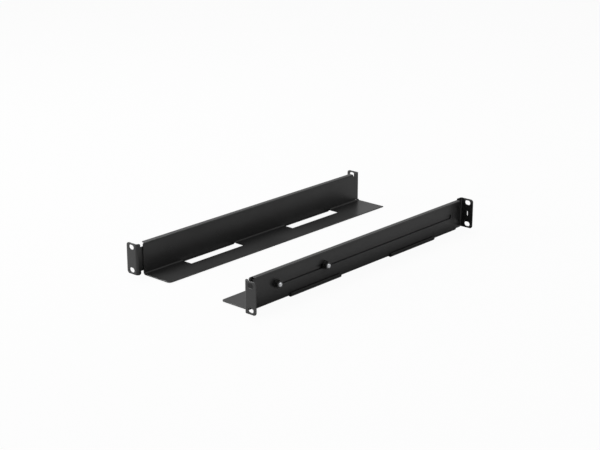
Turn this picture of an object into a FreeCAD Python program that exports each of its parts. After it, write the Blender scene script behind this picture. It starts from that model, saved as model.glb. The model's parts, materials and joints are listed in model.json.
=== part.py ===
"""Sliding server rail pair: two one-unit rack rails, each with a sliding rear bracket.

Frame: +X is across the rack, +Y points to the rack's front and +Z is up.
The origin is midway between the rails, midway along the closed length,
on the surface that the rails stand on.  Sizes are in millimetres.
"""
import FreeCAD, Part
import Sketcher
import math
import os

doc = FreeCAD.newDocument("ServerRailPair")
sheet = doc.addObject("Spreadsheet::Sheet", "Sizes")

SIZES = (
    # name, value, what it is
    ("steel_thickness", 1.5, "folded sheet of every rail and bracket"),
    ("rail_spacing", 190.5, "between the inner faces of the two walls"),
    ("rail_length", 440.0, "support rail, rear end to front ear face"),
    ("rail_height", 44.0, "shelf underside to the top of the flange"),
    ("shelf_width", 48.5, "shelf, measured inwards from the wall's inner face"),
    ("shelf_corner_radius", 5.0, "free corner at the shelf's rear end"),
    ("shelf_bend_radius", 2.0, "inside radius where the wall meets the shelf"),
    ("flange_width", 7.5, "top flange, outwards from the wall's inner face"),
    ("flange_bend_radius", 0.5, "inside radius under the top flange"),
    ("flange_rear_gap", 4.5, "flange starts inside the rail's rear end"),
    ("flange_front_gap", 13.0, "flange stops short of the front ear face"),
    ("rear_corner_cut", 1.5, "bevel on the wall's upper rear corner"),
    ("ear_height", 43.0, "both ears, inside one rack unit of 44.45"),
    ("ear_reach", 21.5, "ear's free edge from the wall's inner face"),
    ("ear_corner_radius", 4.0, "free corners of the ears"),
    ("front_ear_lift", 2.2, "front ear's lower edge above the shelf underside"),
    ("front_ear_bend_radius", 1.5, "inside radius of the front ear's bend"),
    ("front_neck_length", 10.5, "wall stretch that is as tall as the front ear"),
    ("front_notch_depth", 3.0, "notch in the wall between the flange and that stretch"),
    ("relief_depth", 8.0, "corner relief, back from the front ear face"),
    ("relief_height", 4.4, "point of the corner relief above the shelf underside"),
    ("rack_hole_spacing", 31.75, "outer holes of one rack unit"),
    ("rack_slot_reach", 12.6, "rack slot centre from the wall's inner face"),
    ("rack_slot_width", 6.6, "rack slot, clears an M6 screw"),
    ("rack_slot_length", 9.2, "rack slot, end to end across the rack"),
    ("tally_slot_height", 7.0, "plain slit that tells the two rails apart"),
    ("tally_slot_width", 1.8, "width of that slit"),
    ("tally_slot_pitch", 4.0, "between the two slits of the right rail"),
    ("window_start", 69.5, "first shelf window from the rail's rear end"),
    ("window_length", 101.8, "each shelf window along the rail"),
    ("window_pitch", 202.0, "from one window to the next"),
    ("window_depth", 17.0, "window, inwards from the wall's inner face"),
    ("hook_end_gap", 2.2, "guide hook shorter than its window at each end"),
    ("hook_drop", 1.4, "guide hook hangs below the shelf underside"),
    ("hook_lip_gap", 1.2, "slide plate to the hook's lip"),
    ("hook_lip_top", 4.2, "top of the hook's lip above the shelf underside"),
    ("hook_bend_radius", 1.0, "inside radius of the hook's bends"),
    ("slide_gap", 0.3, "running gap on each face of the slide plate"),
    ("slide_foot_gap", 0.4, "slide plate above the hook's floor"),
    ("slide_head_gap", 1.5, "slide plate below the flange"),
    ("slide_front_gap", 14.5, "slide plate's front end from the front ear face"),
    ("slide_corner_radius", 2.0, "slide plate's front corners"),
    ("rear_ear_standoff", 10.0, "rear ear face behind the rail when closed"),
    ("rear_ear_lift", 0.8, "rear ear's lower edge above the shelf underside"),
    ("rear_ear_bend_radius", 2.1, "inside radius of the rear ear's bend"),
    ("bend_land", 3.0, "straight stretch between the rear bend and the neck"),
    ("land_corner_radius", 2.8, "corners of that stretch"),
    ("neck_height", 33.0, "neck between the rear ear and the slide plate"),
    ("neck_setback", 4.0, "slide plate's full height starts inside the rail"),
    ("travel_slot_width", 6.6, "long slot that rides on the studs"),
    ("travel_slot_rear_play", 0.7, "slot's rear end behind the rear stud"),
    ("travel_slot_front_land", 12.5, "metal left in front of the long slot"),
    ("stud_start", 47.0, "rear stud from the rail's rear end"),
    ("stud_pitch", 92.0, "between the two studs of a rail"),
    ("stud_level", 23.5, "stud axis above the shelf underside"),
    ("stud_diameter", 6.0, "M6 self-clinching stud"),
    ("stud_head_diameter", 8.2, "flush head in the wall"),
    ("stud_head_depth", 0.8, "flush head's thickness"),
    ("stud_point", 0.8, "stud standing out of its nut"),
    ("stud_chamfer", 0.6, "chamfer at the stud's end"),
    ("clinch_gap", 0.03, "stud in the wall, all round"),
    ("washer_diameter", 12.0, "plain M6 washer"),
    ("washer_bore", 6.4, "plain M6 washer"),
    ("washer_thickness", 1.6, "plain M6 washer"),
    ("washer_play", 0.1, "slack under the washer, so that the bracket slides"),
    ("nut_across_flats", 10.0, "M6 hexagon nut"),
    ("nut_height", 4.8, "M6 hexagon nut"),
    ("nut_chamfer", 0.5, "corner chamfer on the nut's outer face"),
    ("thread_gap", 0.04, "nut on the stud, all round"),
)
HANDS = {"left": 1, "right": -1}
# Places of the tally slits on each rail's front ear, in half pitches
RAIL_TALLY = {"left": (0,), "right": (-1, 1)}


def fill_sheet():
    for row, (name, value, note) in enumerate(SIZES, start=1):
        sheet.set(f"A{row}", name)
        sheet.set(f"B{row}", str(value))
        sheet.set(f"C{row}", note)
        sheet.setAlias(f"B{row}", name)
    doc.recompute()


def number(expression):
    """Value now of an expression in the sheet's names."""
    return float(sheet.evalExpression(str(expression)))


# Expressions for places.  Out is measured from a wall's inner face away from
# the other rail, along from the rail's rear end to the front, and up from the
# shelf's underside.

def across(hand, out):
    return f"{hand} * (Sizes.rail_spacing / 2 + ({out}))"


def lengthwise(along):
    return f"({along}) - (Sizes.rail_length - Sizes.rear_ear_standoff) / 2"


def level(up):
    return f"Sizes.hook_drop + ({up})"


THICKNESS = "Sizes.steel_thickness"
FRONT = "Sizes.rail_length"
TOP = "Sizes.rail_height"
PLATE_IN = f"({THICKNESS} + Sizes.slide_gap)"
PLATE_OUT = f"({PLATE_IN} + {THICKNESS})"
PLATE_BOTTOM = f"({THICKNESS} - Sizes.hook_drop + Sizes.slide_foot_gap)"
PLATE_TOP = f"({TOP} - {THICKNESS} - Sizes.slide_head_gap)"
LIP_IN = f"({PLATE_OUT} + Sizes.hook_lip_gap)"
LIP_OUT = f"({LIP_IN} + {THICKNESS})"
WASHER_SEAT = f"({PLATE_OUT} + Sizes.washer_play)"
NUT_SEAT = f"({WASHER_SEAT} + Sizes.washer_thickness)"
STUD_END = f"({NUT_SEAT} + Sizes.nut_height + Sizes.stud_point)"


# Sketch helpers

def new_sketch(body, name, role, offset="0"):
    """Sketch on one of the body's origin planes, moved along its normal."""
    sketch = body.newObject("Sketcher::SketchObject", name)
    plane = [item for item in body.Origin.OriginFeatures if item.Role == role][0]
    sketch.AttachmentSupport = [(plane, "")]
    sketch.MapMode = "FlatFace"
    sketch.setExpression(".AttachmentOffset.Base.z", offset)
    return sketch


def pin_point(sketch, item, vertex, place):
    """Fix one point of the sketch by two dimensions from its origin."""
    for axis, expression in zip(("DistanceX", "DistanceY"), place):
        size = Sketcher.Constraint(axis, -1, 1, item, vertex, number(expression))
        index = sketch.addConstraint(size)
        sketch.setExpression(f"Constraints[{index}]", expression)


def add_polygon(sketch, corners):
    points = [FreeCAD.Vector(number(x), number(y), 0) for x, y in corners]
    first = sketch.GeometryCount
    for start, end in zip(points, points[1:] + points[:1]):
        sketch.addGeometry(Part.LineSegment(start, end), False)
    for index, corner in enumerate(corners):
        before = first + (index - 1) % len(corners)
        sketch.addConstraint(Sketcher.Constraint("Coincident", before, 2, first + index, 1))
        pin_point(sketch, first + index, 1, corner)


def add_outline(sketch, corners):
    """Right-angled outline; a corner may carry a third value, its radius."""
    count = len(corners)
    radii = [corner[2] if len(corner) > 2 else None for corner in corners]
    points = [FreeCAD.Vector(number(corner[0]), number(corner[1]), 0) for corner in corners]
    ways = [(points[(i + 1) % count] - points[i]).normalize() for i in range(count)]
    rounds = [number(radius) if radius else 0 for radius in radii]
    first = sketch.GeometryCount
    for i in range(count):
        following = (i + 1) % count
        start = points[i] + ways[i] * rounds[i]
        end = points[following] - ways[i] * rounds[following]
        sketch.addGeometry(Part.LineSegment(start, end), False)
        upright = abs(ways[i].x) < 0.5
        run = "Vertical" if upright else "Horizontal"
        sketch.addConstraint(Sketcher.Constraint(run, first + i))
        axis, expression = ("DistanceX", corners[i][0]) if upright else ("DistanceY", corners[i][1])
        size = Sketcher.Constraint(axis, -1, 1, first + i, 1, number(expression))
        index = sketch.addConstraint(size)
        sketch.setExpression(f"Constraints[{index}]", expression)
    for i in range(count):
        before = (i - 1) % count
        if not radii[i]:
            sketch.addConstraint(Sketcher.Constraint("Coincident", first + before, 2, first + i, 1))
            continue
        add_corner_arc(sketch, points[i], ways[before], ways[i], radii[i], first + before, first + i)


def add_corner_arc(sketch, corner, arriving, leaving, radius, line_in, line_out):
    """Quarter arc between two lines of an outline, tangent to both."""
    size = number(radius)
    centre = corner + (leaving - arriving) * size
    from_centre = [-leaving, arriving]
    left_turn = arriving.cross(leaving).z > 0
    start, end = from_centre if left_turn else reversed(from_centre)
    turn = math.atan2(start.y, start.x)
    circle = Part.Circle(centre, FreeCAD.Vector(0, 0, 1), size)
    arc = sketch.addGeometry(Part.ArcOfCircle(circle, turn, turn + math.pi / 2), False)
    arc_in, arc_out = (1, 2) if left_turn else (2, 1)
    sketch.addConstraint(Sketcher.Constraint("Tangent", line_in, 2, arc, arc_in))
    sketch.addConstraint(Sketcher.Constraint("Tangent", arc, arc_out, line_out, 1))
    index = sketch.addConstraint(Sketcher.Constraint("Radius", arc, size))
    sketch.setExpression(f"Constraints[{index}]", radius)


def add_rectangle(sketch, low, high):
    add_outline(sketch, (low, (high[0], low[1]), high, (low[0], high[1])))


def add_circle(sketch, centre, diameter):
    middle = FreeCAD.Vector(number(centre[0]), number(centre[1]), 0)
    circle = Part.Circle(middle, FreeCAD.Vector(0, 0, 1), number(diameter) / 2)
    item = sketch.addGeometry(circle, False)
    pin_point(sketch, item, 3, centre)
    index = sketch.addConstraint(Sketcher.Constraint("Diameter", item, number(diameter)))
    sketch.setExpression(f"Constraints[{index}]", diameter)


def add_slot(sketch, start, end, width):
    """Round-ended slot; start and end are the centres of its two ends."""
    a = FreeCAD.Vector(number(start[0]), number(start[1]), 0)
    b = FreeCAD.Vector(number(end[0]), number(end[1]), 0)
    radius = number(width) / 2
    turn = math.atan2(b.y - a.y, b.x - a.x)
    side = FreeCAD.Vector(-math.sin(turn), math.cos(turn), 0) * radius
    quarter = math.pi / 2
    normal = FreeCAD.Vector(0, 0, 1)
    near_end = Part.ArcOfCircle(Part.Circle(a, normal, radius), turn + quarter, turn + 3 * quarter)
    far_end = Part.ArcOfCircle(Part.Circle(b, normal, radius), turn - quarter, turn + quarter)
    first = sketch.GeometryCount
    sketch.addGeometry(near_end, False)
    sketch.addGeometry(Part.LineSegment(a - side, b - side), False)
    sketch.addGeometry(far_end, False)
    sketch.addGeometry(Part.LineSegment(b + side, a + side), False)
    for index in range(4):
        following = first + (index + 1) % 4
        sketch.addConstraint(Sketcher.Constraint("Tangent", first + index, 2, following, 1))
    sketch.addConstraint(Sketcher.Constraint("Equal", first, first + 2))
    pin_point(sketch, first, 3, start)
    pin_point(sketch, first + 2, 3, end)
    index = sketch.addConstraint(Sketcher.Constraint("Radius", first, radius))
    sketch.setExpression(f"Constraints[{index}]", f"{width} / 2")


# Feature helpers

def pad(body, sketch, length, reverse=False):
    feature = body.newObject("PartDesign::Pad", f"{sketch.Name}_pad")
    feature.Profile = sketch
    feature.Reversed = reverse
    feature.setExpression("Length", length)
    doc.recompute()
    return feature


def pocket(body, sketch, length, reverse=False):
    """Pocket against the sketch's normal, or along it when reversed."""
    before = body.Shape.Volume
    feature = body.newObject("PartDesign::Pocket", f"{sketch.Name}_pocket")
    feature.Profile = sketch
    feature.Reversed = reverse
    feature.setExpression("Length", length)
    doc.recompute()
    if not body.Shape.Volume < before:
        raise RuntimeError(f"{feature.Name} removes nothing")
    return feature


def revolve(body, sketch, cut=False):
    """Turn a profile about its body's Z axis, to add metal or to cut it."""
    kind, tail = ("Groove", "groove") if cut else ("Revolution", "turned")
    feature = body.newObject(f"PartDesign::{kind}", f"{sketch.Name}_{tail}")
    feature.Profile = sketch
    feature.ReferenceAxis = (sketch, ["V_Axis"])
    feature.Angle = 360
    doc.recompute()
    return feature


def edges_along(shape, axis, place):
    """Names of the straight edges along an axis that pass through a place.

    A place gives the numbers on the two other axes, in X, Y, Z order.
    """
    names = []
    others = [index for index in range(3) if index != axis]
    for index, edge in enumerate(shape.Edges, start=1):
        if len(edge.Vertexes) != 2 or edge.Curve.TypeId != "Part::GeomLine":
            continue
        ends = [vertex.Point for vertex in edge.Vertexes]
        if all(abs(end[i] - goal) < 1e-4 for end in ends for i, goal in zip(others, place)):
            names.append(f"Edge{index}")
    return names


def fillet(body, name, axis, places, radius):
    """Round the edges along one axis at the given places (expressions)."""
    tip = body.Tip
    names = []
    for place in places:
        found = edges_along(tip.Shape, axis, [number(value) for value in place])
        if not found:
            raise RuntimeError(f"{name} has no edge at {place}")
        names += found
    feature = body.newObject("PartDesign::Fillet", name)
    feature.Base = (tip, names)
    feature.setExpression("Radius", radius)
    doc.recompute()
    return feature


def new_body(label):
    body = doc.addObject("PartDesign::Body", label)
    body.Label = label
    return body


# Support rail

def add_rail_section(body, hand):
    """Shelf, wall and top flange, folded from one sheet."""
    sketch = new_sketch(body, f"{body.Label}_section", "XZ_Plane", f"-({lengthwise(FRONT)})")
    under_flange = f"{TOP} - {THICKNESS}"
    outline = (
        ("-Sizes.shelf_width", "0"),
        (THICKNESS, "0", f"Sizes.shelf_bend_radius + {THICKNESS}"),
        (THICKNESS, under_flange, "Sizes.flange_bend_radius"),
        ("Sizes.flange_width", under_flange),
        ("Sizes.flange_width", TOP),
        ("0", TOP, f"Sizes.flange_bend_radius + {THICKNESS}"),
        ("0", THICKNESS, "Sizes.shelf_bend_radius"),
        ("-Sizes.shelf_width", THICKNESS),
    )
    placed = [(across(hand, out), level(up), *bend) for out, up, *bend in outline]
    add_outline(sketch, placed)
    pad(body, sketch, "Sizes.rail_length")
    corner = (across(hand, "-Sizes.shelf_width"), lengthwise("0"))
    fillet(body, f"{body.Label}_shelf_corner", 2, [corner], "Sizes.shelf_corner_radius")


def side_sketch(body, name, hand, out):
    """Sketch in side view: its axes are Y and Z, its plane lies at a given reach."""
    return new_sketch(body, f"{body.Label}_{name}", "YZ_Plane", across(hand, out))


def side_cut(body, name, hand, corners, inner="0", depth="Sizes.flange_width + 1"):
    """Cut a side-view outline through the metal outside a given reach."""
    sketch = side_sketch(body, name, hand, inner)
    add_polygon(sketch, [(lengthwise(along), level(up)) for along, up in corners])
    pocket(body, sketch, depth, reverse=hand > 0)


def trim_rail_ends(body, hand):
    """Bevel at the upper rear corner and a square end where the front ear goes."""
    cut = "Sizes.rear_corner_cut"
    bevel = (("-1", f"{TOP} - {cut} - 1"), (f"{cut} + 1", f"{TOP} + 1"), ("-1", f"{TOP} + 1"))
    side_cut(body, "rear_bevel", hand, bevel)
    bend = f"(Sizes.front_ear_bend_radius + {THICKNESS})"
    wall_end = (
        (f"{FRONT} - {bend}", "-1"),
        (f"{FRONT} + 1", "-1"),
        (f"{FRONT} + 1", f"{TOP} + 1"),
        (f"{FRONT} - {bend}", f"{TOP} + 1"),
    )
    side_cut(body, "wall_end", hand, wall_end)
    flange_front = f"{FRONT} - Sizes.flange_front_gap"
    ends = (("flange_rear", "-1", "Sizes.flange_rear_gap"), ("flange_front", flange_front, f"{FRONT} + 1"))
    for name, start, end in ends:
        stretch = (
            (start, f"{TOP} - {THICKNESS} - 1"),
            (end, f"{TOP} - {THICKNESS} - 1"),
            (end, f"{TOP} + 1"),
            (start, f"{TOP} + 1"),
        )
        side_cut(body, name, hand, stretch, inner=THICKNESS)


def add_ear(body, hand, near, plate, face, inner, bend, lift):
    """Ear folded outwards from an upright plate, drawn in plan and padded upwards.

    Near is where the upright stretch starts and plate is its inner face.
    Face and inner are the ear's outer and inner faces.
    """
    sketch = new_sketch(body, f"{body.Label}_ear", "XY_Plane", level(lift))
    outline = (
        (plate, near),
        (plate, face, f"{bend} + {THICKNESS}"),
        ("Sizes.ear_reach", face),
        ("Sizes.ear_reach", inner),
        (f"{plate} + {THICKNESS}", inner, bend),
        (f"{plate} + {THICKNESS}", near),
    )
    placed = [(across(hand, out), lengthwise(along), *turn) for out, along, *turn in outline]
    add_outline(sketch, placed)
    pad(body, sketch, "Sizes.ear_height")
    free_edge = across(hand, "Sizes.ear_reach")
    corners = [(free_edge, level(up)) for up in (lift, f"{lift} + Sizes.ear_height")]
    fillet(body, f"{body.Label}_ear_corners", 1, corners, "Sizes.ear_corner_radius")


def cut_ear_slots(body, hand, face, lift, tally=()):
    """Two rack slots, and plain tally slits between them, through one ear."""
    reach = "Sizes.rack_slot_reach"
    middle = f"{lift} + Sizes.ear_height / 2"
    behind = f"-({lengthwise(face)}) + {THICKNESS} + 1"
    sketch = new_sketch(body, f"{body.Label}_ear_slots", "XZ_Plane", behind)
    half_run = "(Sizes.rack_slot_length - Sizes.rack_slot_width) / 2"
    for sign in ("-", "+"):
        up = level(f"{middle} {sign} Sizes.rack_hole_spacing / 2")
        start = (across(hand, f"{reach} - {half_run}"), up)
        end = (across(hand, f"{reach} + {half_run}"), up)
        add_slot(sketch, start, end, "Sizes.rack_slot_width")
    half_slit = "(Sizes.tally_slot_height - Sizes.tally_slot_width) / 2"
    for half_pitches in tally:
        out = across(hand, f"{reach} + ({half_pitches}) * Sizes.tally_slot_pitch / 2")
        start = (out, level(f"{middle} - {half_slit}"))
        end = (out, level(f"{middle} + {half_slit}"))
        add_slot(sketch, start, end, "Sizes.tally_slot_width")
    pocket(body, sketch, f"{THICKNESS} + 2")


def add_front_ear(body, hand, tally):
    """Ear folded outwards at the front, taller than the wall it grows from."""
    lift = "Sizes.front_ear_lift"
    bend = "Sizes.front_ear_bend_radius"
    neck = f"{FRONT} - Sizes.front_neck_length"
    add_ear(body, hand, neck, "0", FRONT, f"{FRONT} - {THICKNESS}", bend, lift)
    notch = (
        (f"{FRONT} - Sizes.flange_front_gap", f"{TOP} - Sizes.front_notch_depth"),
        (neck, f"{TOP} - Sizes.front_notch_depth"),
        (neck, f"{TOP} + 1"),
        (f"{FRONT} - Sizes.flange_front_gap", f"{TOP} + 1"),
    )
    side_cut(body, "flange_notch", hand, notch)
    bend_start = f"{FRONT} - {bend} - {THICKNESS}"
    relief = (
        (f"{FRONT} - Sizes.relief_depth", "Sizes.relief_height"),
        (bend_start, lift),
        (f"{FRONT} + 1", lift),
        (f"{FRONT} + 1", "-1"),
        (bend_start, "-1"),
        (bend_start, "0"),
    )
    side_cut(body, "corner_relief", hand, relief)
    cut_ear_slots(body, hand, FRONT, lift, tally)


def window_start(index):
    return f"(Sizes.window_start + {index} * Sizes.window_pitch)"


def cut_window(body, hand, index):
    """Shelf window whose metal is turned outwards as a guide hook."""
    sketch = new_sketch(body, f"{body.Label}_window_{index}", "XY_Plane", level("-1"))
    start = window_start(index)
    low = (across(hand, "-Sizes.window_depth"), lengthwise(start))
    high = (across(hand, "0"), lengthwise(f"{start} + Sizes.window_length"))
    add_rectangle(sketch, low, high)
    pocket(body, sketch, f"{THICKNESS} + Sizes.shelf_bend_radius + 2", reverse=True)


def add_hook(body, hand, index):
    """J-shaped guide under the slide plate, folded down from the wall."""
    start = f"({window_start(index)} + Sizes.hook_end_gap)"
    length = "(Sizes.window_length - 2 * Sizes.hook_end_gap)"
    behind = f"-({lengthwise(f'{start} + {length}')})"
    sketch = new_sketch(body, f"{body.Label}_hook_{index}", "XZ_Plane", behind)
    under = "-Sizes.hook_drop"
    floor = f"{THICKNESS} - Sizes.hook_drop"
    join = f"{THICKNESS} + Sizes.shelf_bend_radius + 1"
    tight = "Sizes.hook_bend_radius"
    wide = f"{tight} + {THICKNESS}"
    outline = (
        ("0", under, wide),
        (LIP_OUT, under, wide),
        (LIP_OUT, "Sizes.hook_lip_top"),
        (LIP_IN, "Sizes.hook_lip_top"),
        (LIP_IN, floor, tight),
        (THICKNESS, floor, tight),
        (THICKNESS, join),
        ("0", join),
    )
    placed = [(across(hand, out), level(up), *bend) for out, up, *bend in outline]
    add_outline(sketch, placed)
    pad(body, sketch, length)


def stud_place(index):
    return f"(Sizes.stud_start + {index} * Sizes.stud_pitch)"


def cut_stud_holes(body, hand):
    """Stud holes through the wall, with a flush seat for each stud's head."""
    steps = (
        ("stud_holes", "Sizes.stud_diameter", f"{THICKNESS} + 1"),
        ("stud_seats", "Sizes.stud_head_diameter", "Sizes.stud_head_depth"),
    )
    for name, diameter, depth in steps:
        sketch = side_sketch(body, name, hand, "0")
        for index in range(2):
            centre = (lengthwise(stud_place(index)), level("Sizes.stud_level"))
            add_circle(sketch, centre, f"{diameter} + 2 * Sizes.clinch_gap")
        pocket(body, sketch, depth, reverse=hand > 0)


def make_support_rail(name, hand):
    body = new_body(f"{name}_support_rail")
    add_rail_section(body, hand)
    trim_rail_ends(body, hand)
    add_front_ear(body, hand, RAIL_TALLY[name])
    for index in range(2):
        cut_window(body, hand, index)
        add_hook(body, hand, index)
    cut_stud_holes(body, hand)
    return body


# Slide bracket

def make_slide_bracket(name, hand):
    """Rear ear on a long plate that slides between the wall and the hooks' lips."""
    body = new_body(f"{name}_slide_bracket")
    rear = "-Sizes.rear_ear_standoff"
    lift = "Sizes.rear_ear_lift"
    bend = "Sizes.rear_ear_bend_radius"
    tangent = f"{rear} + {THICKNESS} + {bend} + Sizes.bend_land"
    add_ear(body, hand, tangent, PLATE_IN, rear, f"{rear} + {THICKNESS}", bend, lift)
    land_end = lengthwise(tangent)
    corners = [(land_end, level(up)) for up in (lift, f"{lift} + Sizes.ear_height")]
    fillet(body, f"{body.Label}_land_corners", 0, corners, "Sizes.land_corner_radius")
    add_slide_plate(body, hand, tangent)
    cut_ear_slots(body, hand, f"{rear} + {THICKNESS}", lift)
    cut_travel_slot(body, hand)
    return body


def add_slide_plate(body, hand, tangent):
    """Plate and its narrower neck, in side view."""
    sketch = side_sketch(body, "plate", hand, PLATE_IN)
    middle = "Sizes.rear_ear_lift + Sizes.ear_height / 2"
    neck_low = f"{middle} - Sizes.neck_height / 2"
    neck_high = f"{middle} + Sizes.neck_height / 2"
    front = f"{FRONT} - Sizes.slide_front_gap"
    back = f"{tangent} - Sizes.bend_land / 2"
    outline = (
        (back, neck_low),
        ("Sizes.neck_setback", neck_low),
        ("Sizes.neck_setback", PLATE_BOTTOM),
        (front, PLATE_BOTTOM, "Sizes.slide_corner_radius"),
        (front, PLATE_TOP, "Sizes.slide_corner_radius"),
        ("Sizes.neck_setback", PLATE_TOP),
        ("Sizes.neck_setback", neck_high),
        (back, neck_high),
    )
    placed = [(lengthwise(along), level(up), *bend) for along, up, *bend in outline]
    add_outline(sketch, placed)
    pad(body, sketch, THICKNESS, reverse=hand < 0)


def cut_travel_slot(body, hand):
    """Long slot that lets the bracket travel along the two studs."""
    sketch = side_sketch(body, "travel_slot", hand, f"{PLATE_IN} - Sizes.slide_gap / 2")
    rear = f"{stud_place(0)} - Sizes.travel_slot_rear_play"
    plate_front = f"{FRONT} - Sizes.slide_front_gap"
    front = f"{plate_front} - Sizes.travel_slot_front_land - Sizes.travel_slot_width / 2"
    axis = level("Sizes.stud_level")
    add_slot(sketch, (lengthwise(rear), axis), (lengthwise(front), axis), "Sizes.travel_slot_width")
    pocket(body, sketch, f"{THICKNESS} + Sizes.slide_gap", reverse=hand > 0)


# Fasteners, each drawn about its own Z axis and then laid outwards along X

def lay_on_stud_axis(body, hand, index, out):
    axis = FreeCAD.Vector(0, 1, 0)
    body.Placement = FreeCAD.Placement(FreeCAD.Vector(), FreeCAD.Rotation(axis, hand * 90))
    body.setExpression(".Placement.Base.x", across(hand, out))
    body.setExpression(".Placement.Base.y", lengthwise(stud_place(index)))
    body.setExpression(".Placement.Base.z", level("Sizes.stud_level"))
    doc.recompute()


def make_stud(label, hand, index):
    body = new_body(label)
    radius = "Sizes.stud_diameter / 2"
    tip = STUD_END
    outline = (
        ("0", "0"),
        ("Sizes.stud_head_diameter / 2", "0"),
        ("Sizes.stud_head_diameter / 2", "Sizes.stud_head_depth"),
        (radius, "Sizes.stud_head_depth"),
        (radius, f"{tip} - Sizes.stud_chamfer"),
        (f"{radius} - Sizes.stud_chamfer", tip),
        ("0", tip),
    )
    sketch = new_sketch(body, f"{label}_profile", "XZ_Plane")
    add_polygon(sketch, outline)
    revolve(body, sketch)
    lay_on_stud_axis(body, hand, index, "0")
    return body


def make_washer(label, hand, index):
    body = new_body(label)
    sketch = new_sketch(body, f"{label}_ring", "XY_Plane")
    add_circle(sketch, ("0", "0"), "Sizes.washer_diameter")
    add_circle(sketch, ("0", "0"), "Sizes.washer_bore")
    pad(body, sketch, "Sizes.washer_thickness")
    lay_on_stud_axis(body, hand, index, WASHER_SEAT)
    return body


def make_nut(label, hand, index):
    body = new_body(label)
    sketch = new_sketch(body, f"{label}_hexagon", "XY_Plane")
    corner = "(Sizes.nut_across_flats / 2 / cos(30 deg))"
    corners = [(f"{corner} * cos({60 * turn} deg)", f"{corner} * sin({60 * turn} deg)")
               for turn in range(6)]
    add_polygon(sketch, corners)
    add_circle(sketch, ("0", "0"), "Sizes.stud_diameter + 2 * Sizes.thread_gap")
    pad(body, sketch, "Sizes.nut_height")
    bevel = new_sketch(body, f"{label}_bevel", "XZ_Plane")
    flat = "Sizes.nut_across_flats / 2"
    slope = f"(Sizes.nut_chamfer / ({corner} - {flat}))"
    outline = (
        (flat, "Sizes.nut_height"),
        (f"{corner} + 1", "Sizes.nut_height"),
        (f"{corner} + 1", f"Sizes.nut_height - {slope} * ({corner} + 1 - {flat})"),
    )
    add_polygon(bevel, outline)
    revolve(body, bevel, cut=True)
    lay_on_stud_axis(body, hand, index, NUT_SEAT)
    return body


def check_document():
    """Stop before anything is written if a feature or a sub-part failed."""
    for item in doc.Objects:
        if "Invalid" in item.State or "Error" in item.State:
            raise RuntimeError(f"{item.Label} failed: {item.State}")


def main():
    fill_sheet()
    pieces = []
    for name, hand in HANDS.items():
        pieces.append(make_support_rail(name, hand))
        pieces.append(make_slide_bracket(name, hand))
        for index, end in enumerate(("rear", "front")):
            pieces.append(make_stud(f"{name}_{end}_stud", hand, index))
            pieces.append(make_washer(f"{name}_{end}_washer", hand, index))
            pieces.append(make_nut(f"{name}_{end}_nut", hand, index))
    doc.recompute()
    check_document()
    for piece in pieces:
        shape = piece.Shape
        if shape.isNull() or not shape.isValid() or len(shape.Solids) != 1:
            raise RuntimeError(f"{piece.Label} is not one valid solid")
    os.makedirs("parts", exist_ok=True)
    for piece in pieces:
        piece.Shape.exportStep(f"parts/{piece.Label}.step")
        box = piece.Shape.BoundBox
        print(f"{piece.Label}: {piece.Shape.Volume:.0f} mm3,"
              f" X {box.XMin:.1f}..{box.XMax:.1f}"
              f" Y {box.YMin:.1f}..{box.YMax:.1f}"
              f" Z {box.ZMin:.1f}..{box.ZMax:.1f}")


main()
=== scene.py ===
import bpy
import json
import math
from mathutils import Matrix, Vector

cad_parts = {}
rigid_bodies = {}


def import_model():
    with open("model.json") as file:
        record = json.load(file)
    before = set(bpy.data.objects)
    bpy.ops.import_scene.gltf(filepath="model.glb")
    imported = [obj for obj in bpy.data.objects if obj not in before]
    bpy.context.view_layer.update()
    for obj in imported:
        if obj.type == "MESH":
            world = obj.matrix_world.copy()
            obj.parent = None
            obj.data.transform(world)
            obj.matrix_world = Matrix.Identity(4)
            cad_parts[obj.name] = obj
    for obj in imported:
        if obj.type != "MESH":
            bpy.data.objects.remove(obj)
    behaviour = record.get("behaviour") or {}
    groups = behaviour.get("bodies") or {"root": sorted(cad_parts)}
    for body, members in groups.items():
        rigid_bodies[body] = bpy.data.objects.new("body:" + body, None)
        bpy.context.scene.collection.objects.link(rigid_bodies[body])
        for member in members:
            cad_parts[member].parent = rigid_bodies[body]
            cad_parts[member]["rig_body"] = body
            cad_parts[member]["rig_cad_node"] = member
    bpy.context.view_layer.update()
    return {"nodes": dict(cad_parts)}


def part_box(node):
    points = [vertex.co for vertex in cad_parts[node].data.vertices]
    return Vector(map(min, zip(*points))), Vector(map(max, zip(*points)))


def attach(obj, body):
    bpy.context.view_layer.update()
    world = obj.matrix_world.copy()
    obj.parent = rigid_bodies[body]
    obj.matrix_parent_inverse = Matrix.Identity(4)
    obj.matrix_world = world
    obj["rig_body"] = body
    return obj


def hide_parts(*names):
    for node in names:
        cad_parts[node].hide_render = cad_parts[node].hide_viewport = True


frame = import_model()
print("frame loaded:", len(frame["nodes"]), "nodes")

mm = 0.001
hands = {"left": 1, "right": -1}   # the way each rail's outer side faces along x
ends = ("rear", "front")

modelling = {
    "merge": 0.002 * mm,     # points nearer than this become one
    "endFace": 0.001 * mm,   # faces this near the end belong to it
    "facing": 0.9,           # normals past this count as upright
    "sharpOver": 50,         # degrees between the faces of an edge to round
}


def clearSelection():
    if bpy.context.object and bpy.context.object.mode != "OBJECT":
        bpy.ops.object.mode_set(mode="OBJECT")
    bpy.ops.object.select_all(action="DESELECT")


def pick(item):
    clearSelection()
    bpy.context.view_layer.objects.active = item
    item.select_set(True)


def startEdit(item, action="DESELECT"):
    # edit mode with nothing selected, or with all of it
    pick(item)
    bpy.ops.object.mode_set(mode="EDIT")
    bpy.ops.mesh.select_mode(type="FACE")
    bpy.ops.mesh.select_all(action=action)


def endEdit():
    bpy.ops.object.mode_set(mode="OBJECT")


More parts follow.
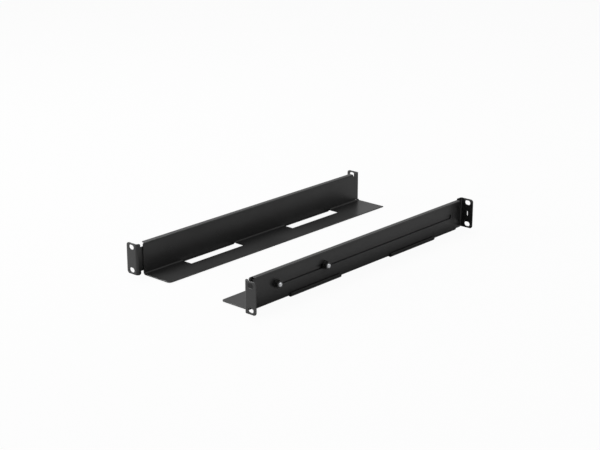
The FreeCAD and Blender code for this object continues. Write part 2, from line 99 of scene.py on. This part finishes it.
def pickFaces(item, wanted):
    # faces by their place or normal, from edit mode and back
    endEdit()
    for face in item.data.polygons:
        face.select = wanted(face)
    bpy.ops.object.mode_set(mode="EDIT")


def useModifier(item, kind, **settings):
    pick(item)
    modifier = item.modifiers.new(kind.title(), kind)
    for name, value in settings.items():
        setattr(modifier, name, value)
    bpy.ops.object.modifier_apply(modifier=modifier.name)


def applyPlace():
    bpy.ops.object.transform_apply(location=True, rotation=True, scale=True)


def makeDisc(radius, low, high, sides, turn=0):
    # upright round or hexagonal bar between two heights
    clearSelection()
    bpy.ops.mesh.primitive_cylinder_add(vertices=sides, radius=radius,
                                        depth=high - low,
                                        location=(0, 0, (low + high) / 2),
                                        rotation=(0, 0, math.radians(turn)))
    applyPlace()
    return bpy.context.object


def growFace(item, way, scale, side=1):
    # the top or bottom face moved on, and made wider or narrower
    startEdit(item)
    heights = [face.center.z * side for face in item.data.polygons]
    end = max(heights) - modelling["endFace"]
    pickFaces(item, lambda face: face.center.z * side > end)
    bpy.ops.mesh.extrude_region_move(TRANSFORM_OT_translate={"value": way})
    bpy.ops.transform.resize(value=(scale, scale, 1))
    endEdit()


def faceOutwards(item):
    startEdit(item, "SELECT")
    bpy.ops.mesh.remove_doubles(threshold=modelling["merge"])
    bpy.ops.mesh.normals_make_consistent(inside=False)
    endEdit()


def cutWith(item, tool, operation):
    useModifier(item, "BOOLEAN", operation=operation, solver="EXACT", object=tool)
    bpy.data.objects.remove(tool)
    faceOutwards(item)


def roundEdges(item, settings, clamp=True):
    useModifier(item, "BEVEL", width=settings["round"],
                segments=settings["roundSegments"], limit_method="ANGLE",
                angle_limit=math.radians(modelling["sharpOver"]),
                use_clamp_overlap=clamp)


def smooth(item, degrees):
    # rounded edges shade smoothly while the flats beside them stay flat
    pick(item)
    bpy.ops.object.shade_smooth_by_angle(angle=math.radians(degrees))
    useModifier(item, "WEIGHTED_NORMAL", mode="FACE_AREA", weight=100,
                keep_sharp=True)


def newMaterial(name):
    material = bpy.data.materials.new(name)
    material.use_nodes = True
    material.node_tree.nodes.clear()
    return material, material.node_tree.nodes, material.node_tree.links


def dress(item, material):
    # one finish for a CAD node or a new piece
    item.data.materials.clear()
    item.data.materials.append(material)


powderCoat = {
    "colour": (0.0136, 0.0136, 0.0136, 1),
    "fleck": (0.0202, 0.0202, 0.0202, 1),   # paler grains of the powder
    "ior": 1.5,
    "roughness": 0.31,
    "roughnessSpread": 0.07,    # slow change over the sheet
    "cloudScale": 14.0,         # scales are per metre
    "cloudDetail": 2,
    "cloudRange": (0.3, 0.7),   # noise values that reach the whole spread
    "grainScale": 1500.0,
    "grainDetail": 3,
    "grainBump": 0.12,
    "grainHeight": 0.03 * mm,
    "peelScale": 260.0,         # waves of the cured coat
    "peelDetail": 2,
    "peelBump": 0.10,
    "peelHeight": 0.10 * mm,
}
blackZinc = {
    **powderCoat,
    "colour": (0.0123, 0.0123, 0.0123, 1),
    "roughness": 0.30,
    "grainBump": 0.05,
    "peelBump": 0.02,
}


def makePowderCoat(name, settings):
    material, nodes, links = newMaterial(name)
    out = nodes.new("ShaderNodeOutputMaterial")
    shader = nodes.new("ShaderNodeBsdfPrincipled")
    shader.inputs["IOR"].default_value = settings["ior"]
    links.new(shader.outputs["BSDF"], out.inputs["Surface"])
    place = nodes.new("ShaderNodeTexCoord")
    textures = {}
    for kind in ("grain", "peel", "cloud"):
        texture = nodes.new("ShaderNodeTexNoise")
        texture.inputs["Scale"].default_value = settings[kind + "Scale"]
        texture.inputs["Detail"].default_value = settings[kind + "Detail"]
        links.new(place.outputs["Object"], texture.inputs["Vector"])
        textures[kind] = texture
    gloss = nodes.new("ShaderNodeMapRange")
    middle, half = settings["roughness"], settings["roughnessSpread"] / 2
    gloss.inputs["From Min"].default_value = settings["cloudRange"][0]
    gloss.inputs["From Max"].default_value = settings["cloudRange"][1]
    gloss.inputs["To Min"].default_value = middle - half
    gloss.inputs["To Max"].default_value = middle + half
    links.new(textures["cloud"].outputs["Fac"], gloss.inputs["Value"])
    links.new(gloss.outputs["Result"], shader.inputs["Roughness"])
    tint = nodes.new("ShaderNodeMix")
    tint.data_type = "RGBA"
    tint.inputs["A"].default_value = settings["colour"]
    tint.inputs["B"].default_value = settings["fleck"]
    links.new(textures["grain"].outputs["Fac"], tint.inputs["Factor"])
    links.new(tint.outputs["Result"], shader.inputs["Base Color"])
    bumps = []
    for kind in ("peel", "grain"):
        bump = nodes.new("ShaderNodeBump")
        bump.inputs["Strength"].default_value = settings[kind + "Bump"]
        bump.inputs["Distance"].default_value = settings[kind + "Height"]
        links.new(textures[kind].outputs["Fac"], bump.inputs["Height"])
        bumps.append(bump)
    links.new(bumps[0].outputs["Normal"], bumps[1].inputs["Normal"])
    links.new(bumps[1].outputs["Normal"], shader.inputs["Normal"])
    return material


zincPlate = {
    "colour": (0.72, 0.73, 0.75, 1),
    "roughness": (0.20, 0.36),
    "spangleScale": 1400.0,   # per metre
    "spangleBump": 0.15,
    "spangleHeight": 0.02 * mm,
}


def makeZincPlate():
    material, nodes, links = newMaterial("zincPlate")
    out = nodes.new("ShaderNodeOutputMaterial")
    shader = nodes.new("ShaderNodeBsdfPrincipled")
    shader.inputs["Metallic"].default_value = 1.0
    shader.inputs["Base Color"].default_value = zincPlate["colour"]
    links.new(shader.outputs["BSDF"], out.inputs["Surface"])
    place = nodes.new("ShaderNodeTexCoord")
    spangle = nodes.new("ShaderNodeTexNoise")
    spangle.inputs["Scale"].default_value = zincPlate["spangleScale"]
    links.new(place.outputs["Object"], spangle.inputs["Vector"])
    gloss = nodes.new("ShaderNodeMapRange")
    gloss.inputs["To Min"].default_value = zincPlate["roughness"][0]
    gloss.inputs["To Max"].default_value = zincPlate["roughness"][1]
    links.new(spangle.outputs["Fac"], gloss.inputs["Value"])
    links.new(gloss.outputs["Result"], shader.inputs["Roughness"])
    bump = nodes.new("ShaderNodeBump")
    bump.inputs["Strength"].default_value = zincPlate["spangleBump"]
    bump.inputs["Distance"].default_value = zincPlate["spangleHeight"]
    links.new(spangle.outputs["Fac"], bump.inputs["Height"])
    links.new(bump.outputs["Normal"], shader.inputs["Normal"])
    return material


sheetFinish = makePowderCoat("satinPowderCoat", powderCoat)
fastenerFinish = makePowderCoat("blackZincFastener", blackZinc)
zincFinish = makeZincPlate()

for name, node in frame["nodes"].items():
    if name.endswith("_stud"):
        dress(node, zincFinish)
    elif name.endswith(("_washer", "_nut")):
        dress(node, fastenerFinish)
    else:
        dress(node, sheetFinish)
print("materials done")


sheetEdges = {
    "flatWithin": 0.4,     # degrees, faces of one flat joined
    "round": 0.22 * mm,    # the coat rounds every cut edge
    "roundSegments": 2,
    "smoothUnder": 32,     # degrees
}


def softenSheet(node, name, body):
    # the folded sheet again, with its cut edges rounded by the coat
    sheet = frame["nodes"][node]
    pick(sheet)
    bpy.ops.object.duplicate()
    piece = bpy.context.object
    piece.name = piece.data.name = name
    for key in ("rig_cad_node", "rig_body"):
        if key in piece:
            del piece[key]
    piece.parent = None
    startEdit(piece, "SELECT")
    bpy.ops.mesh.remove_doubles(threshold=modelling["merge"])
    bpy.ops.mesh.dissolve_limited(
        angle_limit=math.radians(sheetEdges["flatWithin"]))
    endEdit()
    roundEdges(piece, sheetEdges, clamp=False)
    # a corner that ran off along a bend goes back to the sheet
    for vertex in piece.data.vertices:
        spot = sheet.closest_point_on_mesh(vertex.co)[1]
        if (vertex.co - spot).length > sheetEdges["round"]:
            vertex.co = spot
    smooth(piece, sheetEdges["smoothUnder"])
    dress(piece, sheetFinish)
    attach(piece, body)
    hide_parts(node)


for hand in hands:
    softenSheet(f"{hand}_support_rail", f"{hand}RailSheet", "support_rails")
    softenSheet(f"{hand}_slide_bracket", f"{hand}BracketSheet", f"{hand}_bracket")
print("sheet edges done")


stud = {
    "diameter": 6.0 * mm,
    "pitch": 1.0 * mm,
    "threadDepth": 0.61 * mm,
    "crestWidth": 0.16,        # shares of the pitch
    "rootWidth": 0.20,
    "stepsPerTurn": 40,
    "start": 2.01,             # turns below the cut, so no corner lies in it
    "spareTurns": 4,           # cut off again at both ends
    "cutThreshold": 0.0005 * mm,
    "pointChamfer": 0.6 * mm,
    "threadSmoothUnder": 25,   # degrees
    "neckEnd": 0.3 * mm,       # the neck ends this far before the bracket
    "headDepth": 0.8 * mm,
    "headSides": 64,
    "round": 0.08 * mm,        # on the head
    "roundSegments": 2,
    "smoothUnder": 30,
}


def makeThread(length):
    # threaded rod from z = 0 to its chamfered end
    crest = stud["diameter"] / 2
    root = crest - stud["threadDepth"]
    pitch = stud["pitch"]
    flank = (1 - stud["crestWidth"] - stud["rootWidth"]) / 2
    clearSelection()
    bpy.ops.mesh.primitive_plane_add(size=pitch,
                                     location=(root, 0, -stud["start"] * pitch))
    rod = bpy.context.object
    applyPlace()
    # the thread's profile, one pitch long, starts as a single point
    bpy.ops.object.mode_set(mode="EDIT")
    bpy.ops.mesh.select_mode(type="VERT")
    bpy.ops.mesh.select_all(action="SELECT")
    bpy.ops.mesh.merge(type="CENTER")
    steps = (
        (crest - root, flank),
        (0, stud["crestWidth"]),
        (root - crest, flank),
        (0, stud["rootWidth"]),
    )
    for outwards, share in steps:
        bpy.ops.mesh.extrude_vertices_move(
            TRANSFORM_OT_translate={"value": (outwards, 0, share * pitch)})
    endEdit()
    useModifier(rod, "SCREW", axis="Z", angle=2 * math.pi, screw_offset=pitch,
                iterations=math.ceil(length / pitch) + stud["spareTurns"],
                steps=stud["stepsPerTurn"], render_steps=stud["stepsPerTurn"],
                use_merge_vertices=True)
    faceOutwards(rod)
    for height, cutAbove in ((0, False), (length, True)):
        startEdit(rod, "SELECT")
        bpy.ops.mesh.bisect(plane_co=(0, 0, height), plane_no=(0, 0, 1),
                            use_fill=True, clear_outer=cutAbove,
                            clear_inner=not cutAbove,
                            threshold=stud["cutThreshold"])
        endEdit()
    # the point is turned down to a 45 degree cone
    for vertex in rod.data.vertices:
        reach = math.hypot(vertex.co.x, vertex.co.y)
        allowed = crest - stud["pointChamfer"] + length - vertex.co.z
        if reach > allowed:
            vertex.co.x *= allowed / reach
            vertex.co.y *= allowed / reach
    smooth(rod, stud["threadSmoothUnder"])
    return rod


def makeStudHead(depth):
    # flush head and the plain neck in the sheet, from z = 0
    low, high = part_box("left_rear_stud")
    radius = (high.y - low.y) / 2
    head = makeDisc(radius, 0, stud["headDepth"], stud["headSides"])
    startEdit(head)
    pickFaces(head, lambda face: face.normal.z > modelling["facing"])
    bpy.ops.mesh.inset(thickness=radius - stud["diameter"] / 2, depth=0)
    bpy.ops.mesh.extrude_region_move(
        TRANSFORM_OT_translate={"value": (0, 0, depth - stud["headDepth"])})
    endEdit()
    roundEdges(head, stud)
    smooth(head, stud["smoothUnder"])
    return head


washer = {
    "bore": 6.4 * mm,
    "sides": 72,
    "round": 0.22 * mm,
    "roundSegments": 3,
    "smoothUnder": 30,
}


def makeWasher():
    low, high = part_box("left_rear_washer")
    radius = (high.y - low.y) / 2
    ring = makeDisc(radius, 0, high.x - low.x, washer["sides"])
    startEdit(ring)
    pickFaces(ring, lambda face: abs(face.normal.z) > modelling["facing"])
    bpy.ops.mesh.inset(thickness=radius - washer["bore"] / 2, depth=0)
    bpy.ops.mesh.bridge_edge_loops()
    endEdit()
    faceOutwards(ring)
    roundEdges(ring, washer)
    smooth(ring, washer["smoothUnder"])
    return ring


nut = {
    "turn": 30,                # degrees, so that a corner points up
    "bore": 6.08 * mm,
    "mouth": 6.7 * mm,         # countersink where the thread starts
    "mouthDepth": 0.35 * mm,
    "faceWidth": 9.5 * mm,     # flat ring left by the chamfer
    "chamferAngle": 30,
    "spare": 0.5 * mm,         # the tools reach past the faces and corners
    "toolSides": 96,
    "round": 0.12 * mm,
    "roundSegments": 2,
    "smoothUnder": 30,
}


def makeNut():
    low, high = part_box("left_rear_nut")
    height = high.x - low.x
    corner = (high.z - low.z) / 2
    body = makeDisc(corner, 0, height, 6, nut["turn"])
    # both faces are turned down to a ring, so the corners slope away
    ring = nut["faceWidth"] / 2
    past = nut["spare"]
    wide = corner + past
    rise = math.tan(math.radians(nut["chamferAngle"]))
    slope = (wide - ring) * rise
    narrow = ring - past / rise
    blank = makeDisc(wide, slope, height - slope, nut["toolSides"])
    for side in (1, -1):
        growFace(blank, (0, 0, side * (slope + past)), narrow / wide, side)
    cutWith(body, blank, "INTERSECT")
    # the bore widens towards its mouth at both ends
    depth = nut["mouthDepth"]
    flare = (nut["mouth"] / nut["bore"] - 1) * (depth + past) / depth
    bore = makeDisc(nut["bore"] / 2, depth, height - depth, nut["toolSides"])
    for side in (1, -1):
        growFace(bore, (0, 0, side * (depth + past)), 1 + flare, side)
    cutWith(body, bore, "DIFFERENCE")
    roundEdges(body, nut, clamp=False)
    smooth(body, nut["smoothUnder"])
    return body


def placeCopy(model, name, seat, side, material, node):
    # the model's z axis becomes the rack's sideways axis
    pick(model)
    bpy.ops.object.duplicate()
    piece = bpy.context.object
    piece.name = piece.data.name = name
    turn = Matrix.Rotation(math.radians(90 * side), 4, "Y")
    piece.matrix_world = Matrix.Translation(seat) @ turn
    pick(piece)
    applyPlace()
    dress(piece, material)
    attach(piece, "support_rails")
    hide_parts(node)


def placeFasteners():
    # each is modelled once, then copied to the four studs
    low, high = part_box("left_rear_stud")
    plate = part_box("left_slide_bracket")[0].x
    neck = plate - low.x - stud["neckEnd"]
    head, thread = makeStudHead(neck), makeThread(high.x - low.x - neck)
    models = {
        "StudHead": (head, "stud", 0, sheetFinish, "black_sheet_steel"),
        "StudThread": (thread, "stud", neck, zincFinish, "zinc_plated_steel"),
        "Washer": (makeWasher(), "washer", 0, fastenerFinish, "black_fasteners"),
        "Nut": (makeNut(), "nut", 0, fastenerFinish, "black_fasteners"),
    }
    for hand, side in hands.items():
        for end in ends:
            for kind, (model, part, shift, finish, slotName) in models.items():
                node = f"{hand}_{end}_{part}"
                low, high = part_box(node)
                seat = (low + high) / 2
                seat.x = (low.x if side > 0 else high.x) + side * shift
                placeCopy(model, f"{hand}{end.title()}{kind}", seat, side,
                          finish, node)
    for entry in models.values():
        bpy.data.objects.remove(entry[0])


placeFasteners()
print("fasteners done")


white = (1, 1, 1, 1)
studio = {
    "floorSize": 12.0,
    "floorColour": (0.5, 0.5, 0.5, 1),
    "whiteToCamera": 0.95,    # plain white's share of the floor the camera sees
    "worldColour": (0.95, 0.95, 0.95, 1),
    "worldStrength": 0.2,
    "worldInGloss": 0.48,     # the pale backdrop as the gloss shows it
}


def makeStage():
    clearSelection()
    bpy.ops.mesh.primitive_plane_add(size=studio["floorSize"], location=(0, 0, 0))
    floor = bpy.context.object
    floor.name = "studioFloor"
    material, nodes, links = newMaterial("paleFloor")
    out = nodes.new("ShaderNodeOutputMaterial")
    soft = nodes.new("ShaderNodeBsdfDiffuse")
    soft.inputs["Color"].default_value = studio["floorColour"]
    plain = nodes.new("ShaderNodeEmission")
    plain.inputs["Color"].default_value = white
    path = nodes.new("ShaderNodeLightPath")
    share = nodes.new("ShaderNodeMath")
    share.operation = "MULTIPLY"
    share.inputs[1].default_value = studio["whiteToCamera"]
    mix = nodes.new("ShaderNodeMixShader")
    links.new(path.outputs["Is Camera Ray"], share.inputs[0])
    links.new(share.outputs["Value"], mix.inputs["Fac"])
    links.new(soft.outputs["BSDF"], mix.inputs[1])
    links.new(plain.outputs["Emission"], mix.inputs[2])
    links.new(mix.outputs["Shader"], out.inputs["Surface"])
    dress(floor, material)


def makeWorld():
    world = bpy.data.worlds.new("paleStudio")
    bpy.context.scene.world = world
    world.use_nodes = True
    nodes, links = world.node_tree.nodes, world.node_tree.links
    nodes.clear()
    out = nodes.new("ShaderNodeOutputWorld")
    path = nodes.new("ShaderNodeLightPath")
    last = None
    shades = (
        (studio["worldColour"], studio["worldStrength"], None),
        (white, studio["worldInGloss"], "Is Glossy Ray"),
        (white, 1.0, "Is Camera Ray"),
    )
    for colour, strength, ray in shades:
        shade = nodes.new("ShaderNodeBackground")
        shade.inputs["Color"].default_value = colour
        shade.inputs["Strength"].default_value = strength
        if ray is None:
            last = shade.outputs["Background"]
            continue
        mix = nodes.new("ShaderNodeMixShader")
        links.new(path.outputs[ray], mix.inputs["Fac"])
        links.new(last, mix.inputs[1])
        links.new(shade.outputs["Background"], mix.inputs[2])
        last = mix.outputs["Shader"]
    links.new(last, out.inputs["Surface"])


view = {
    "place": (1262.89 * mm, -1420.37 * mm, 666.78 * mm),
    "yaw": 41.94,       # degrees
    "pitch": 18.29,     # degrees below level
    "lens": 87.731,
    "sensorWidth": 36,
    "clipStart": 0.05,
}


def makeCamera():
    data = bpy.data.cameras.new("mainCamera")
    data.lens = view["lens"]
    data.sensor_width = view["sensorWidth"]
    data.clip_start = view["clipStart"]
    camera = bpy.data.objects.new("mainCamera", data)
    bpy.context.collection.objects.link(camera)
    camera.location = view["place"]
    camera.rotation_euler = (math.radians(90 - view["pitch"]), 0,
                             math.radians(view["yaw"]))
    bpy.context.scene.camera = camera


# discs that aim at the middle of the floor, in metres and watts
lamps = {
    "overhead": {"place": (-0.9, 0.2, 1.9), "size": 1.3, "power": 44},
    "rightTop": {"place": (1.5, 0.3, 1.8), "size": 1.0, "power": 10},
    "frontLeft": {"place": (-1.5, -1.7, 0.5), "size": 0.9, "power": 55},
}


def makeLamps():
    for name, lamp in lamps.items():
        data = bpy.data.lights.new(name, "AREA")
        data.shape = "DISK"
        data.size = lamp["size"]
        data.energy = lamp["power"]
        item = bpy.data.objects.new(name, data)
        bpy.context.collection.objects.link(item)
        item.location = lamp["place"]
        way = -Vector(lamp["place"])
        item.rotation_euler = way.to_track_quat("-Z", "Y").to_euler()


makeStage()
makeWorld()
makeCamera()
makeLamps()
bpy.context.scene.view_settings.view_transform = "Standard"
print("studio done")
